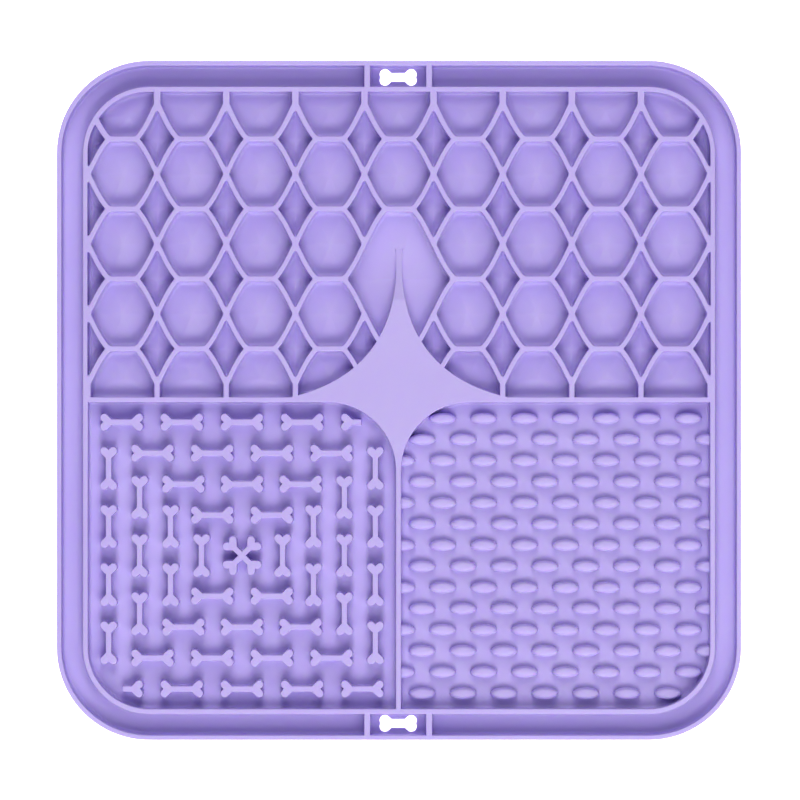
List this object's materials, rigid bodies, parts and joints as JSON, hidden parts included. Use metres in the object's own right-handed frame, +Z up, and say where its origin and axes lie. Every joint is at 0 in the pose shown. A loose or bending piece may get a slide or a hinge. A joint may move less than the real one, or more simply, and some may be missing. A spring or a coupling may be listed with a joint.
{
  "type": "lick mat",
  "caption": "Square moulded silicone lick mat with hexagon wells, raised bones, domed ovals, a centre star, a raised rim with a gutter and bone-shaped hanging slots.",
  "frame": {"origin": "middle of the flat underside", "axes": "+Z up out of the wells, +Y towards the hexagon half, +X towards the side with the ovals"},
  "size_m": [0.2, 0.1986, 0.008],
  "materials": {
    "silicone": "soft matte lilac silicone"
  },
  "bodies": {
    "root": {"mat": "silicone"}
  },
  "joints": []
}
